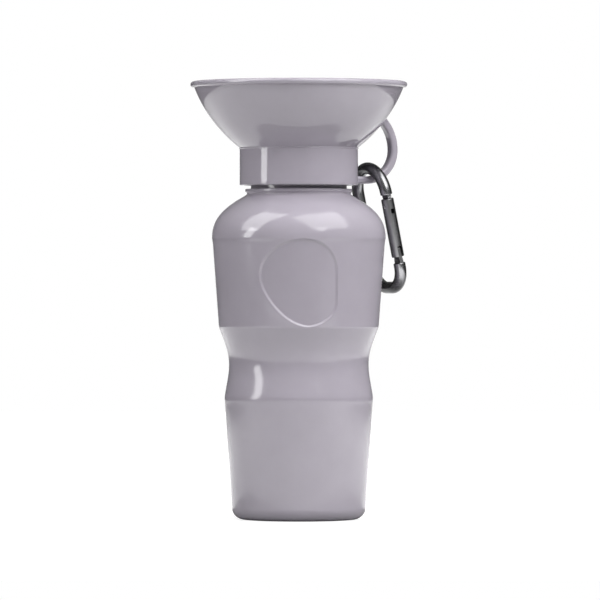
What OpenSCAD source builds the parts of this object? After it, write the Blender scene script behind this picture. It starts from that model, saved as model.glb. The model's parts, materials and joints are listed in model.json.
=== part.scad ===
// Squeeze-fill travel water bottle for dogs: a blow-moulded bottle whose screw-on top is a
// drinking bowl. Squeezing sends water up a dip tube into the bowl, and letting go draws it back.
// A small carabiner hangs in the carry loop between the bowl's rim and its collar.
// Origin at the middle of the base, +Z up, front (thumb pad) towards -Y, carry loop to the right.

/* [Bottle] */
// Outside radius of the bottle just above the base corner
base_r = 33.5; // [31:0.5:35]
// Radius of the rounded corner round the base
base_corner = 6; // [3:0.5:8]
// Width of the flat ring that the bottle stands on
stand_ring = 4.5; // [3:0.5:8]
// Height of the dished middle of the base
push_up = 3.5; // [2:0.5:6]
// Radius of the lower grip, where it is widest
hip_r = 37.1; // [36:0.1:39]
// Height of the widest place of the lower grip
hip_z = 60.5; // [57:0.5:62]
// Radius of the waist
waist_r = 34.95; // [33:0.05:36]
// Height of the waist
waist_z = 77.5; // [75:0.5:80]
// Radius where the waist runs out into the chest
chest_r = 40.1; // [39:0.1:41.5]
// Height where the waist runs out into the chest
chest_z = 97.6; // [95:0.2:100]
// Largest radius of the bottle
belly_r = 43.45; // [42.5:0.05:44]
// Height of the largest radius
belly_z = 140.8; // [138:0.2:143]
// Height where the shoulder meets the groove under the neck bead
root_z = 162.1; // [160:0.1:166]
// Thickness of the blow-moulded wall
bottle_wall = 1.6; // [1.2:0.1:2.2]
// Thickness of the base
base_t = 2; // [1.5:0.1:3]
// Depth of the thumb pad's recess
pad_depth = 0.6; // [0.3:0.1:0.9]
// Width of the thumb pad
pad_w = 36.9; // [34:0.1:38]
// Height of the thumb pad from its lower to its upper end
pad_h = 41.9; // [38:0.1:43]
// Height of the thumb pad's middle
pad_z = 118; // [116:0.5:119]

/* [Neck] */
// Room between the neck and the collar's bore, which holds the thread
thread_room = 3.2; // [2.6:0.05:3.4]
// Thickness of the neck's wall
neck_wall = 2; // [1.6:0.1:2.4]
// How far the bead under the neck stays inside the collar's bore
bead_gap = 0.4; // [0.1:0.1:0.6]
// Depth of the groove between the bead and the shoulder
bead_groove = 0.9; // [0.5:0.1:1.2]
// Height of the bead and its groove
bead_h = 3; // [2.6:0.1:3.4]
// Height of the neck above the bead
neck_h = 12.9; // [12.5:0.1:15]

/* [Bowl] */
// Outside radius of the rolled rim
rim_r = 54.3; // [53.6:0.1:57]
// Height of the rolled rim from its lower to its upper edge
rim_h = 3.1; // [2.6:0.1:3.6]
// How far the rim stands out past the bowl's wall
rim_out = 2; // [1.5:0.1:2.4]
// Height of the rim's middle above the collar's top
bowl_h = 31.35; // [30:0.1:34]
// Thickness of the bowl's wall
bowl_wall = 2; // [1.6:0.1:2.6]
// Thickness of the bowl's floor
floor_t = 2.5; // [2:0.1:3.2]
// Radius of the flat floor in the middle of the bowl
floor_r = 20; // [18:0.5:22]
// Outside radius of the screw collar
collar_r = 29.6; // [29.2:0.1:30]
// Thickness of the collar's wall
collar_wall = 2.4; // [2:0.1:2.6]
// Height of the collar
collar_h = 19; // [18:0.2:20]
// Number of ports through the bowl's floor
port_count = 6; // [4:1:7]
// Radius of one port
port_r = 1.9; // [1.5:0.1:2.1]
// Lead of the screw thread, which is the rise for one turn
thread_lead = 4.23; // [3:0.01:6]

/* [Flow parts] */
// Thickness of the gasket on the neck's rim
gasket_t = 1.2; // [0.8:0.1:2]
// Thickness of the insert's flange
flange_t = 1.6; // [1.2:0.1:2.2]
// Bore radius of the insert's cup
cup_bore_r = 12.2; // [11.8:0.1:12.6]
// Thickness of the insert's walls
insert_wall = 1.6; // [1.2:0.1:2]
// Depth of the cup's floor below the flange's top
cup_depth = 13.2; // [12.8:0.2:16]
// Height of the nozzle above the cup's floor
nozzle_h = 5.9; // [5:0.1:6.2]
// Bore radius of the nozzle
nozzle_bore_r = 3; // [2.5:0.1:3.2]
// Section radius of the O-ring
o_ring_r = 0.85; // [0.7:0.05:1]
// Outside diameter of the dip tube
tube_od = 8; // [7.6:0.2:8.6]
// Inside diameter of the dip tube
tube_id = 6; // [5:0.2:6.4]
// Depth of the skirt that centres the insert in the neck
skirt_h = 7; // [5:0.5:9]
// Length of the socket that grips the dip tube
socket_h = 12; // [8:0.5:18]
// Height of the tube's foot above the middle of the bottle's floor
tube_foot = 4; // [3:0.5:10]
// Clearance round pieces that slide or turn in each other
run_gap = 0.05; // [0.03:0.01:0.08]
// Clearance where the insert drops into the neck
drop_gap = 0.3; // [0.2:0.05:0.5]

/* [Carry loop] */
// Direction of the loop round the bottle, from +X towards the back
loop_az = 25; // [20:1:30]
// How far the loop stays inside the bowl's rim
loop_inset = 0.3; // [0.2:0.1:3]
// Thickness of the loop in its own plane
loop_t = 3.75; // [3.2:0.05:4.2]
// Width of the loop across its plane
loop_w = 5.8; // [5:0.1:7]
// Radius of the loop's rounded edges
loop_edge = 1.2; // [0.8:0.1:1.5]
// Height of the loop's widest place above the collar's lower edge
loop_rise = 18.1; // [17.8:0.1:18.6]
// Radius of the loop's lower bend, to its middle line
loop_low_r = 15.2; // [15:0.1:15.6]
// Radius of the loop's upper bend, to its middle line
loop_high_r = 21.5; // [20:0.1:23]
// Thickness of the foot that lies on the collar
foot_t = 1; // [0.8:0.1:1.4]
// How far the foot runs up onto the bowl
foot_up = 6; // [4:0.5:8]

/* [Carabiner] */
// Thickness of the carabiner's wire
wire_d = 6; // [5.4:0.1:6.2]
// Distance between the middle lines of its two sides
carabiner_w = 26.5; // [25.5:0.5:28]
// Length from the middle line of the top bend to that of the bottom bend
carabiner_l = 61.5; // [60:0.5:64]
// Radius of the two lower corners, to the middle line
low_corner = 11; // [10:0.5:12]
// Diameter of the gate
gate_d = 6.3; // [6:0.1:6.4]
// Length of the gate
gate_l = 29.8; // [29:0.1:30.2]
// Distance of the gate's upper end below the middle line of the top bend
gate_top = 15.8; // [15.6:0.1:16.5]
// Distance of the pivot below the gate's upper end
pivot_drop = 4; // [3.6:0.1:4.4]
// Distance of the latch pin above the gate's lower end
latch_rise = 2.6; // [2.4:0.1:3]
// Radius of the rivet and of the latch pin
pin_r = 0.9; // [0.8:0.05:1]
// Thickness of the tongue at either end of the gate
tongue_t = 2; // [1.8:0.1:2.2]
// Radius of the upper tongue round the pivot
tongue_r = 2.3; // [2:0.1:2.5]
// Room above the gate, up to the wire
upper_room = 2; // [1.6:0.1:2.4]
// Room below the gate, down to the wire
lower_room = 3.1; // [2.8:0.1:3.4]
// Length of the plunger
plunger_l = 3; // [2.5:0.1:3.5]
// Length of the spring under the plunger
spring_l = 8; // [7:0.5:9]
// Clearance on each side of a tongue
tongue_gap = 0.15; // [0.1:0.05:0.25]
// Clearance between the hanging wire and the bottle's belly
belly_gap = 0.87; // [0.5:0.01:2]
// Direction of the carabiner's face, from +X towards the back
hang_face = 31; // [28:1:32]
// Direction of its top bend round the bottle
hang_az = 26.8; // [26:0.1:28]
// Distance of its top bend from the bottle's axis
hang_r = 38.7; // [38.4:0.1:40]

/* [Hidden] */
$fn = 64;
// Points on one curved stretch of an outline
curve_n = 8;
// A small overrun for cuts
eps = 0.01;

PLASTIC = [0.67, 0.65, 0.70];
INNER = [0.86, 0.87, 0.88];
SILICONE = [0.35, 0.36, 0.38];
DARK_METAL = [0.20, 0.20, 0.22];
STEEL = [0.72, 0.72, 0.74];

// Heights up the stack
bead_top = root_z + bead_h;
neck_top = bead_top + neck_h;
flange_z = neck_top + gasket_t;
flange_top = flange_z + flange_t;
web_z = flange_top + 2 * run_gap;
floor_z = web_z + floor_t;
// The collar hangs over the neck and clears the bead
collar_top = web_z + 5;
collar_z = collar_top - collar_h;
rim_z = collar_top + bowl_h;
// Radii of the neck and the flow parts
neck_r = collar_r - collar_wall - thread_room;
bead_r = collar_r - collar_wall - bead_gap;
root_r = bead_r - bead_groove / 2;
neck_bore_r = neck_r - neck_wall;
cup_r = cup_bore_r + insert_wall;
cup_floor_z = flange_top - cup_depth;
nozzle_z = cup_floor_z + nozzle_h;
nozzle_r = nozzle_bore_r + insert_wall;
spigot_r = cup_bore_r - 6 * run_gap;
spigot_z = cup_floor_z + 3;
spigot_bore_r = spigot_r - 2.5;
o_ring_mid_r = cup_bore_r - run_gap - o_ring_r;
o_ring_z = cup_floor_z + 8;
groove_r = o_ring_mid_r - o_ring_r - run_gap;
boss_r = 2.6;
stopper_r = 4.4;
stopper_wall = stopper_r - boss_r;
stopper_z = nozzle_z + 2 * run_gap;
tip_h = 1.5;
tube_top_z = cup_floor_z - insert_wall;
tube_z = push_up + base_t + tube_foot;

// ---------- outlines ----------

// Points of a cubic curve from p0 to p3, without the last one
function bezier(p0, p1, p2, p3, n = curve_n) = [
    for (i = [0 : n - 1])
        let (t = i / n, s = 1 - t)
        s * s * s * p0 + 3 * s * s * t * p1 + 3 * s * t * t * p2 + t * t * t * p3
];

// Points of an arc round c, from angle a0 to a1 with both ends
function arc(c, r, a0, a1, n = curve_n) = [
    for (i = [0 : n]) let (a = a0 + (a1 - a0) * i / n) c + r * [cos(a), sin(a)]
];

function reversed(list) = [for (i = [len(list) - 1 : -1 : 0]) list[i]];
function unit(v) = v / norm(v);
function left_of(v) = [-v[1], v[0]];

// The line list moved sideways to its left by d, square to the line at every point
function moved_left(list, d) = [
    for (i = [0 : len(list) - 1])
        let (
            before = list[max(i - 1, 0)],
            after = list[min(i + 1, len(list) - 1)]
        )
        list[i] + d * left_of(unit(after - before))
];

// Side of the bottle from the base corner up to the neck: two straight tapers, each with a
// rounded-over upper end, joined by the waist
function bottle_side() = let (
    corner = base_r - base_corner,
    hip_edge = [hip_r - 0.25, hip_z - 3.5],
    chest_edge = [chest_r - 0.35, chest_z - 2.1],
    belly_edge = [belly_r - 0.45, belly_z - 3.5]
) concat(
    arc([corner, base_corner], base_corner, -90, -11.25, curve_n - 1),
    [[base_r, base_corner]],
    bezier(hip_edge, hip_edge + [0.14, 2], [hip_r, hip_z - 1], [hip_r, hip_z], 4),
    bezier([hip_r, hip_z], [hip_r, hip_z + 6.5], [waist_r, waist_z - 8], [waist_r, waist_z]),
    bezier([waist_r, waist_z], [waist_r, waist_z + 7], chest_edge - [1.65, 4.4], chest_edge),
    bezier(chest_edge, chest_edge + [0.26, 0.7], [chest_r - 0.06, chest_z - 0.8],
           [chest_r, chest_z], 4),
    [[chest_r, chest_z]],
    bezier(belly_edge, belly_edge + [0.17, 2.2], [belly_r, belly_z - 1], [belly_r, belly_z], 4),
    bezier([belly_r, belly_z], [belly_r, belly_z + 9.6],
           [root_r + 11.1, root_z - 6.1], [root_r, root_z]),
    [[root_r, root_z]]
);

// Underside of the base, from its middle out to the ring that the bottle stands on
function base_dish(rise) = let (edge = base_r - base_corner - stand_ring)
    bezier([0, push_up + rise], [edge * 0.5, push_up + rise],
           [edge - 5, rise], [edge, rise]);

// The thumb pad's pebble outline, seen from the front, grown by g
function pad_outline(g = 0) = let (
    w = pad_w / 100,
    h = pad_h / 100,
    top = [8 * w, pad_z + 50.6 * h + g],
    left = [-50.4 * w - g, pad_z + 9.5 * h],
    bottom = [12.5 * w, pad_z - 49.4 * h - g],
    right_low = [49.6 * w + g, pad_z - 22.4 * h],
    right_high = [49.6 * w + g, pad_z + 13.6 * h]
) concat(
    bezier(top, top - [30 * w, 0], left + [0, 24 * h], left),
    bezier(left, left - [0, 21.5 * h], bottom - [28.7 * w, 0], bottom),
    bezier(bottom, bottom + [16 * w, 0], right_low - [0, 14.6 * h], right_low),
    [right_low],
    bezier(right_high, right_high + [0, 21 * h], top + [25.5 * w, 0], top)
);

// Outside of the bowl from the collar's top up to the rim
function bowl_side() = concat(
    bezier([collar_r + 0.3, collar_top], [collar_r + 10, collar_top + 7.6],
           [rim_r - rim_out - 4.2, rim_z - rim_h / 2 - 11.3],
           [rim_r - rim_out, rim_z - rim_h / 2], 12),
    [[rim_r - rim_out, rim_z - rim_h / 2]]
);

// Section of the loop: a rectangle across by deep, with round corners, round its own middle
function rounded_section(across, deep, r) = concat(
    arc([across / 2 - r, deep / 2 - r], r, 0, 90, 4),
    arc([r - across / 2, deep / 2 - r], r, 90, 180, 4),
    arc([r - across / 2, r - deep / 2], r, 180, 270, 4),
    arc([across / 2 - r, r - deep / 2], r, 270, 360, 4)
);

// ---------- bottle ----------

module bottle_shell() {
    side = bottle_side();
    inner = moved_left(side, bottle_wall);
    foot_in = base_r - base_corner - stand_ring;
    rotate_extrude()
        polygon(concat(
            base_dish(0),
            [[foot_in, 0]],
            side,
            [
                [bead_r - bead_groove, root_z + 0.5], [bead_r - bead_groove + 0.1, root_z + 0.9],
                [bead_r - 0.1, root_z + 1.4], [bead_r, root_z + 1.8],
                [bead_r, bead_top - 0.3], [bead_r - 0.3, bead_top], [neck_r, bead_top],
                [neck_r, neck_top - 0.4], [neck_r - 0.4, neck_top],
                [neck_bore_r + 0.4, neck_top], [neck_bore_r, neck_top - 0.4],
                [neck_bore_r, root_z + 0.4]
            ],
            reversed([for (p = inner) if (p[1] > base_t + 0.5) p]),
            [[foot_in, base_t]],
            reversed(base_dish(base_t))
        ));
}

// A skin of thickness t, set in by depth from the bottle's outside over its chest
module chest_skin(depth, t) {
    side = [for (p = bottle_side()) if (p[1] > waist_z && p[1] < belly_z + 9) p];
    rotate_extrude()
        polygon(concat(moved_left(side, depth), reversed(moved_left(side, depth + t))));
}

module pad_prism() {
    rotate([90, 0, 0])
        linear_extrude(belly_r + 5)
            polygon(pad_outline());
}

module bottle_body() {
    overlap = 0.4;
    color(PLASTIC)
        difference() {
            union() {
                bottle_shell();
                // the wall keeps its thickness behind the recess
                intersection() {
                    chest_skin(bottle_wall - overlap, overlap + pad_depth);
                    pad_prism();
                }
            }
            intersection() {
                chest_skin(-2, 2 + pad_depth);
                pad_prism();
            }
        }
}

// ---------- flow parts ----------

module flow_insert() {
    skirt_r = neck_bore_r - drop_gap;
    socket_z = tube_top_z - socket_h;
    socket_r = tube_od / 2 + insert_wall;
    color(INNER)
        rotate_extrude()
            polygon([
                [nozzle_bore_r, nozzle_z], [nozzle_bore_r, tube_top_z],
                [tube_od / 2, tube_top_z], [tube_od / 2, socket_z],
                [socket_r, socket_z], [socket_r, tube_top_z],
                [cup_r, tube_top_z], [cup_r, flange_z],
                [skirt_r - insert_wall, flange_z], [skirt_r - insert_wall, flange_z - skirt_h],
                [skirt_r - 0.5, flange_z - skirt_h], [skirt_r, flange_z - skirt_h + 1],
                [skirt_r, flange_z], [neck_r + 0.3, flange_z],
                [neck_r + 0.3, flange_top], [cup_bore_r + 0.6, flange_top],
                [cup_bore_r, flange_top - 0.6], [cup_bore_r, cup_floor_z],
                [nozzle_r, cup_floor_z], [nozzle_bore_r + 0.7, nozzle_z]
            ]);
}

module dip_tube() {
    notch = tube_od * 0.45;
    color(INNER)
        difference() {
            translate([0, 0, tube_z])
                cylinder(h = tube_top_z - tube_z, d = tube_od);
            translate([0, 0, tube_z - 1])
                cylinder(h = tube_top_z - tube_z + 2, d = tube_id);
            // the foot is cut to a V, so it can't seal itself to the floor
            translate([0, 0, tube_z - eps])
                rotate([90, 0, 0])
                    linear_extrude(tube_od + 2, center = true)
                        polygon([[-notch, 0], [notch, 0], [0, notch]]);
        }
}

module neck_gasket() {
    color(SILICONE)
        translate([0, 0, neck_top])
            difference() {
                cylinder(h = gasket_t, r = neck_r - 0.1);
                translate([0, 0, -1])
                    cylinder(h = gasket_t + 2, r = neck_bore_r);
            }
}

module spigot_o_ring() {
    color(SILICONE)
        translate([0, 0, o_ring_z])
            rotate_extrude()
                translate([o_ring_mid_r, 0])
                    circle(r = o_ring_r, $fn = 24);
}

// ---------- bowl ----------

module bowl_shell() {
    side = bowl_side();
    inside = moved_left(side, bowl_wall);
    lip_r = rim_h / 2;
    lip_mid = [rim_r - lip_r, rim_z];
    inner_lip = rim_r - rim_out - bowl_wall;
    groove_h = 2 * o_ring_r + 0.4;
    start = inside[0];
    rotate_extrude()
        polygon(concat(
            [
                [0, web_z], [spigot_bore_r, web_z], [spigot_bore_r, spigot_z],
                [spigot_r - 0.5, spigot_z], [spigot_r, spigot_z + 0.5],
                [spigot_r, o_ring_z - groove_h / 2], [groove_r, o_ring_z - groove_h / 2],
                [groove_r, o_ring_z + groove_h / 2], [spigot_r, o_ring_z + groove_h / 2],
                [spigot_r, web_z], [collar_r - collar_wall, web_z],
                [collar_r - collar_wall, collar_z + 0.6], [collar_r - collar_wall + 0.6, collar_z],
                [collar_r - 0.3, collar_z], [collar_r, collar_z + 0.3],
                [collar_r, collar_top]
            ],
            side,
            arc(lip_mid, lip_r, -75, 90),
            arc([inner_lip + 1, rim_z + lip_r - 1], 1, 90, 180, 4),
            reversed([for (p = inside) if (p[1] < rim_z) p]),
            reversed(bezier([floor_r, floor_z], [floor_r + 3.5, floor_z],
                            start - [3.6, 2.4], start)),
            [[floor_r, floor_z], [0, floor_z]]
        ));
}

// Everything inside the bowl's and the collar's outer faces
module bowl_envelope() {
    rotate_extrude()
        polygon(concat([[0, collar_z], [collar_r, collar_z], [collar_r, collar_top]],
                       bowl_side(), [[0, rim_z - rim_h / 2]]));
}

module drinking_bowl() {
    port_pitch = (boss_r + spigot_bore_r) / 2 + 0.3;
    boss_end = stopper_z + 2;
    color(PLASTIC)
        difference() {
            union() {
                bowl_shell();
                translate([0, 0, boss_end])
                    cylinder(h = floor_z - boss_end - 0.5, r = boss_r);
                // low dome over the boss, in the middle of the bowl
                translate([0, 0, floor_z])
                    intersection() {
                        translate([0, 0, -7.2])
                            sphere(r = 8.4);
                        translate([0, 0, -0.5])
                            cylinder(h = 4, r = port_pitch - port_r - 0.4);
                    }
            }
            for (i = [0 : port_count - 1])
                rotate([0, 0, (i + 0.5) * 360 / port_count])
                    translate([port_pitch, 0, web_z - 1])
                        cylinder(h = floor_t + 2, r = port_r);
        }
}

module stopper() {
    boss_end = stopper_z + 2;
    color(SILICONE)
        rotate_extrude()
            polygon([
                [0, stopper_z - tip_h], [nozzle_bore_r - 1.4, stopper_z - tip_h],
                [nozzle_bore_r - 0.3, stopper_z], [stopper_r - 0.4, stopper_z],
                [stopper_r, stopper_z + 0.4], [stopper_r, stopper_z + 4.6],
                [boss_r, stopper_z + 5.2], [boss_r, boss_end], [0, boss_end]
            ]);
}

// ---------- carry loop ----------

loop_mid_r = rim_r - loop_inset - loop_t / 2;
loop_mid_z = collar_z + loop_rise;

// A bend of the loop that starts at its widest place, upwards or, with a minus, downwards
module loop_bend(r, sweep) {
    translate([loop_mid_r - r, 0, loop_mid_z])
        rotate([90, 0, 0])
            rotate_extrude(angle = sweep, $fn = 96)
                translate([r, 0])
                    polygon(rounded_section(loop_t, loop_w, loop_edge));
}

module carry_loop() {
    upper_end = 58;
    run_l = loop_mid_r - loop_low_r - collar_r + 1;
    foot_angle = 2 * asin(loop_w / 2 / collar_r);
    skin = [for (p = bowl_side()) if (p[1] < collar_top + foot_up) p];
    foot_r = collar_r + foot_t;
    color(PLASTIC)
        difference() {
            rotate([0, 0, loop_az]) {
                loop_bend(loop_low_r, -90);
                loop_bend(loop_high_r, upper_end);
                translate([loop_mid_r - loop_low_r, 0, loop_mid_z - loop_low_r])
                    rotate([0, -90, 0])
                        linear_extrude(run_l)
                            polygon(rounded_section(loop_t, loop_w, loop_edge));
                rotate([0, 0, -foot_angle / 2])
                    rotate_extrude(angle = foot_angle)
                        polygon(concat(
                            [[collar_r - 1, collar_z], [foot_r - 0.3, collar_z],
                             [foot_r, collar_z + 0.3], [foot_r, collar_top - foot_t]],
                            [for (p = moved_left(skin, -foot_t)) if (p[0] > foot_r + 0.1) p],
                            [skin[len(skin) - 1], [collar_r - 1, collar_top]]
                        ));
            }
            bowl_envelope();
        }
}

// ---------- carabiner ----------
// In its own frame: X across towards the gate, Z up, Y square to its face and away from the
// bottle, with the origin on the wire's middle line at the top of its upper bend.

half_w = carabiner_w / 2;
wire_r = wire_d / 2;
gate_z = -gate_top;
gate_end_z = gate_z - gate_l;
pivot_z = gate_z - pivot_drop;
latch_z = gate_end_z + latch_rise;
bottom_z = -carabiner_l;
upper_rod_z = gate_z + upper_room;
lower_rod_z = gate_end_z - lower_room;
tongue_back = tongue_r - 0.2;
cam_drop = tongue_r - 0.4;
slot_w = tongue_t + 2 * tongue_gap;
slot_end_z = pivot_z - tongue_r - 0.6;
nose_r = tongue_r;
nose_z = latch_z + nose_r + 0.1;
notch_r = pin_r + 0.25;
plunger_r = 1.15;
plunger_bore_r = plunger_r + 2 * run_gap;
plunger_z = pivot_z - cam_drop - run_gap;
chamber_end_z = plunger_z - plunger_l - spring_l;

// The height at which the wire rests on the loop, for its distance from the axis
loop_in_r = loop_low_r - loop_t / 2;
wire_play = 0.95;
hang_z = loop_mid_z - sqrt(
    pow(loop_in_r - wire_r - wire_play, 2)
    - pow(max(hang_r * cos(hang_az - loop_az) - (loop_mid_r - loop_low_r), 0), 2)
);

// The outward lean that keeps the wire clear of the belly, a little above its widest place
hang_lean = atan(
    (sqrt(pow(belly_r, 2) - pow(half_w, 2)) + wire_r + belly_gap
     - hang_r * cos(hang_face - hang_az))
    / (hang_z - belly_z - 5)
);

module hang() {
    translate([hang_r * cos(hang_az), hang_r * sin(hang_az), hang_z])
        rotate([0, 0, hang_face - 90])
            rotate([hang_lean, 0, 0])
                children();
}

// A bend of the wire round [x, z] in the carabiner's own plane
module wire_bend(x, z, r, a0, a1) {
    translate([x, 0, z])
        rotate([90, 0, 0])
            rotate([0, 0, a0])
                rotate_extrude(angle = a1 - a0, $fn = 96)
                    translate([r, 0])
                        circle(r = wire_r, $fn = 32);
}

module wire_rod(x, z0, z1) {
    translate([x, 0, z0])
        cylinder(h = z1 - z0, r = wire_r, $fn = 32);
}

module carabiner_frame() {
    low_z = bottom_z + low_corner;
    color(DARK_METAL)
        hang()
            difference() {
                union() {
                    wire_bend(0, -half_w, half_w, 0, 180);
                    wire_rod(-half_w, low_z, -half_w);
                    wire_bend(low_corner - half_w, low_z, low_corner, 180, 270);
                    translate([low_corner - half_w, 0, bottom_z])
                        rotate([0, 90, 0])
                            cylinder(h = carabiner_w - 2 * low_corner, r = wire_r, $fn = 32);
                    wire_bend(half_w - low_corner, low_z, low_corner, 270, 360);
                    wire_rod(half_w, low_z, lower_rod_z);
                    wire_rod(half_w, upper_rod_z, -half_w);
                    // upper tongue, round about the pivot
                    translate([half_w - tongue_r, -tongue_t / 2, pivot_z])
                        cube([tongue_r + tongue_back, tongue_t, upper_rod_z - pivot_z + 1]);
                    intersection() {
                        translate([half_w, 0, pivot_z])
                            rotate([90, 0, 0])
                                cylinder(h = tongue_t, r = tongue_r, center = true);
                        translate([half_w - tongue_r, -tongue_t, pivot_z - cam_drop])
                            cube([2 * tongue_r, 2 * tongue_t, cam_drop + tongue_r]);
                    }
                    // nose that holds the latch pin
                    translate([half_w - nose_r, -tongue_t / 2, lower_rod_z - 1])
                        cube([2 * nose_r, tongue_t, nose_z - lower_rod_z + 1]);
                }
                translate([half_w, 0, pivot_z])
                    rotate([90, 0, 0])
                        cylinder(h = wire_d, r = pin_r, center = true);
                // notch in the nose, open to the inside
                translate([half_w, 0, latch_z])
                    rotate([90, 0, 0])
                        cylinder(h = wire_d, r = notch_r, center = true);
                translate([half_w - wire_r - 1, -wire_r, latch_z - notch_r])
                    cube([wire_r + 1, wire_d, 2 * notch_r]);
            }
}

module gate_rivet() {
    head_r = 1.45;
    head_t = 0.35;
    seat_y = gate_d / 2 - head_t;
    color(STEEL)
        hang()
            translate([half_w, 0, pivot_z])
                rotate([90, 0, 0]) {
                    cylinder(h = 2 * seat_y + 0.2, r = pin_r, center = true, $fn = 32);
                    for (side = [-1, 1])
                        translate([0, 0, side * (seat_y + run_gap + head_t / 2)])
                            cylinder(h = head_t, r = head_r, center = true, $fn = 32);
                }
}

module carabiner_gate() {
    head_r = 1.55;
    seat_y = gate_d / 2 - 0.35;
    color(DARK_METAL)
        hang()
            difference() {
                translate([half_w, 0, gate_end_z])
                    cylinder(h = gate_l, r = gate_d / 2, $fn = 48);
                // upper slot, closed at the back
                translate([0, -slot_w / 2, slot_end_z])
                    cube([half_w + tongue_back + 0.25, slot_w, gate_z - slot_end_z + 1]);
                // lower slot, open right through
                translate([0, -slot_w / 2, gate_end_z - 1])
                    cube([carabiner_w, slot_w, nose_z + 0.4 - gate_end_z + 1]);
                translate([half_w, 0, pivot_z])
                    rotate([90, 0, 0])
                        cylinder(h = 2 * gate_d, r = pin_r + run_gap, center = true, $fn = 32);
                translate([half_w, 0, latch_z])
                    rotate([90, 0, 0])
                        cylinder(h = 2 * gate_d, r = pin_r, center = true, $fn = 32);
                // flats for the rivet's heads
                for (side = [-1, 1])
                    translate([half_w, side * (seat_y + 1), pivot_z])
                        rotate([90, 0, 0])
                            cylinder(h = 2, r = head_r, center = true, $fn = 32);
                // chamber for the plunger and its spring
                translate([half_w, 0, chamber_end_z])
                    cylinder(h = slot_end_z - chamber_end_z + 1, r = plunger_bore_r, $fn = 32);
                // window in the gate's back
                translate([half_w, -0.9, slot_end_z - 0.6])
                    cube([gate_d, 1.8, 2.3]);
            }
}

module latch_pin() {
    color(STEEL)
        hang()
            translate([half_w, 0, latch_z])
                rotate([90, 0, 0])
                    cylinder(h = gate_d - 0.3, r = pin_r, center = true, $fn = 32);
}

module gate_plunger() {
    color(STEEL)
        hang()
            translate([half_w, 0, plunger_z - plunger_l])
                cylinder(h = plunger_l, r = plunger_r, $fn = 32);
}

module gate_spring() {
    coil_r = 0.22;
    coils = 10;
    top = plunger_z - plunger_l - coil_r;
    pitch = (top - chamber_end_z - coil_r) / (coils - 1);
    color(STEEL)
        hang()
            for (i = [0 : coils - 1])
                translate([half_w, 0, top - i * pitch])
                    rotate_extrude($fn = 32)
                        translate([plunger_r - coil_r - 0.05, 0])
                            circle(r = coil_r, $fn = 16);
}

bottle_body();
flow_insert();
dip_tube();
neck_gasket();
spigot_o_ring();
drinking_bowl();
stopper();
carry_loop();
carabiner_frame();
gate_rivet();
carabiner_gate();
latch_pin();
gate_plunger();
gate_spring();
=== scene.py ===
"""Looks of a squeeze-fill travel water bottle for dogs.

The bottle, the screw-on drinking bowl, its carry loop, the flow parts inside and the hanging
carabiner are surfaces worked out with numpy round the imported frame. Shapes are worked out in
millimetres, and add_mesh puts them into their meshes in metres.
"""

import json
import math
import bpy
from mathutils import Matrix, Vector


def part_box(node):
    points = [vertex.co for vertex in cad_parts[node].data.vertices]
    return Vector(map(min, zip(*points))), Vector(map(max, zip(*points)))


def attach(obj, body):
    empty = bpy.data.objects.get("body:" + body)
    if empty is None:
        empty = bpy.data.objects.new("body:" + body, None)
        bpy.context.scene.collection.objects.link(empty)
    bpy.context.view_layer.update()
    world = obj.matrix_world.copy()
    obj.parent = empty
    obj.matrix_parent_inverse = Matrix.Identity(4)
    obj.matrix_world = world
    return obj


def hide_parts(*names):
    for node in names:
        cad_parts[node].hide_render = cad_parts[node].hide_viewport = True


bl_info = {
    "name": "Squeeze-Fill Travel Bottle",
    "version": (1, 0, 0),
    "blender": (4, 5, 0),
    "location": "View3D > Sidebar > Travel Bottle",
    "description": "Builds a squeeze bottle with a drinking bowl, a carry loop and a carabiner",
    "category": "Add Mesh",
}

import bpy
import numpy as np
from mathutils import Quaternion, Vector

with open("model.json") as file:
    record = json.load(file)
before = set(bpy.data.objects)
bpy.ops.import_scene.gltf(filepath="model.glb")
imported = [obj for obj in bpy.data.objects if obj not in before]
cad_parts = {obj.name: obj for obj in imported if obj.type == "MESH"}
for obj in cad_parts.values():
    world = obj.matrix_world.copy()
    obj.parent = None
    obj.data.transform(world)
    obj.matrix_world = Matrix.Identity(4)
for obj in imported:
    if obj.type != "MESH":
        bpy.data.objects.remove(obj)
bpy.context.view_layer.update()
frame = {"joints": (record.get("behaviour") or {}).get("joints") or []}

MM = 0.001
JOINTS = {joint["name"]: joint for joint in frame["joints"]}


def corners_of(node):
    """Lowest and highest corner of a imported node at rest, in millimetres."""
    return [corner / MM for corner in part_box(node)]


BOTTLE_TOP = corners_of("bottle_body")[1].z
BOWL_TOP = corners_of("drinking_bowl")[1].z
INSERT_LOW, INSERT_HIGH = corners_of("flow_insert")
TUBE_LOW, TUBE_HIGH = corners_of("dip_tube")
GASKET_LOW, GASKET_HIGH = corners_of("neck_gasket")
RING_LOW, RING_HIGH = corners_of("spigot_o_ring")
STOPPER_LOW, STOPPER_HIGH = corners_of("stopper")
WEB_Z = INSERT_HIGH.z + 0.1  # underside of the bowl's floor
COLLAR_TOP = WEB_Z + 5
SPIGOT_R, SPIGOT_BORE = 11.9, 9.4
THREAD_START = 6.3  # height of the neck thread's start above the neck's root


# ---------- property helpers ----------

def length(name, description, default):
    """A length in metres, given here in millimetres."""
    return bpy.props.FloatProperty(
        name=name, description=description, default=default * MM, min=0.0,
        subtype="DISTANCE", unit="LENGTH", precision=5)


def colour(name, description, default):
    """A linear colour."""
    return bpy.props.FloatVectorProperty(
        name=name, description=description, default=default, size=3, min=0.0, max=1.0,
        subtype="COLOR")


class InMillimetres:
    """A property group's values under their own names, with its lengths in millimetres."""

    def __init__(self, group):
        for field in group.bl_rna.properties:
            value = getattr(group, field.identifier)
            is_length = getattr(field, "unit", "NONE") == "LENGTH"
            setattr(self, field.identifier, value / MM if is_length else value)


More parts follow.
